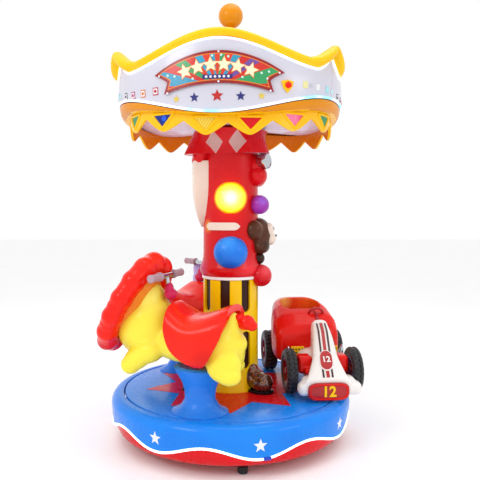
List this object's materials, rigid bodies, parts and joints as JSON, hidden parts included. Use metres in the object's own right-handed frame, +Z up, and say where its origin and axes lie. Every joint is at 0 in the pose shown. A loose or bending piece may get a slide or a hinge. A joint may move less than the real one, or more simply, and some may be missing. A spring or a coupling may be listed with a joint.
{
  "type": "kiddie carousel",
  "caption": "Small children's merry-go-round: a round base, a turning deck with figure seats, a centre column and a tent-like canopy with pennants.",
  "frame": {"origin": "on the floor, on the turning axis, below the middle of the round base", "axes": "+Z up along the turning axis, -Y towards the front of the ride, +X to its right"},
  "size_m": [1.2899, 1.2227, 2.193],
  "materials": {
    "bearing_steel": "turned steel",
    "black_rubber": "moulded rubber",
    "blue_gelcoat": "glossy fibreglass",
    "brown_gelcoat": "glossy fibreglass",
    "chrome": "polished",
    "cream_gelcoat": "glossy fibreglass",
    "foot_rubber": "moulded rubber",
    "lamp_lens": "translucent lens",
    "lavender_gelcoat": "glossy fibreglass",
    "light_diffuser": "translucent light strip",
    "orange_gelcoat": "glossy fibreglass",
    "purple_gelcoat": "glossy fibreglass",
    "red_gelcoat": "glossy fibreglass",
    "sign_board": "printed acrylic",
    "white_gelcoat": "glossy fibreglass",
    "yellow_gelcoat": "glossy fibreglass"
  },
  "bodies": {
    "base": {"base_light_strip": "light_diffuser", "base_rim": "blue_gelcoat", "base_shell": "red_gelcoat", "bearing_hub": "bearing_steel", "foot_1": "foot_rubber", "foot_2": "foot_rubber", "foot_3": "foot_rubber", "foot_4": "foot_rubber"},
    "turntable": {"car_body": "white_gelcoat", "car_cowl": "red_gelcoat", "car_number_plate": "red_gelcoat", "car_steering_wheel": "black_rubber", "car_wheel_front_left": "black_rubber", "car_wheel_front_right": "black_rubber", "car_wheel_rear_left": "black_rubber", "car_wheel_rear_right": "black_rubber", "ceiling": "white_gelcoat", "chest_ball": "blue_gelcoat", "chest_lamp": "lamp_lens", "column_belt": "white_gelcoat", "column_body": "red_gelcoat", "column_collar": "red_gelcoat", "column_trousers": "yellow_gelcoat", "deck": "blue_gelcoat", "deck_star": "red_gelcoat", "elephant_body": "lavender_gelcoat", "elephant_handle": "chrome", "elephant_head": "lavender_gelcoat", "elephant_pedestal": "blue_gelcoat", "elephant_saddle": "red_gelcoat", "fascia_1": "white_gelcoat", "fascia_2": "white_gelcoat", "fascia_3": "white_gelcoat", "finial": "yellow_gelcoat", "juggling_ball_purple": "purple_gelcoat", "juggling_ball_red": "red_gelcoat", "lion_body": "yellow_gelcoat", "lion_handle": "chrome", "lion_head": "orange_gelcoat", "lion_mane": "red_gelcoat", "lion_pedestal": "blue_gelcoat", "lion_saddle": "red_gelcoat", "lion_tail": "red_gelcoat", "monkey_figure": "brown_gelcoat", "neck_bar": "cream_gelcoat", "pennant_band_1": "yellow_gelcoat", "pennant_band_2": "yellow_gelcoat", "pennant_band_3": "yellow_gelcoat", "roof": "white_gelcoat", "shoe_left": "brown_gelcoat", "shoe_right": "brown_gelcoat", "side_lamp": "chrome", "side_plaque": "cream_gelcoat", "sign_1": "sign_board", "sign_2": "sign_board", "sign_3": "sign_board", "top_rim_1": "yellow_gelcoat", "top_rim_2": "yellow_gelcoat", "top_rim_3": "yellow_gelcoat"}
  },
  "joints": [
    {"name": "carousel_turn", "type": "hinge", "parent": "base", "child": "turntable", "pos_m": [0, 0, 0.225], "axis": [0, 0, 1], "continuous": true}
  ]
}
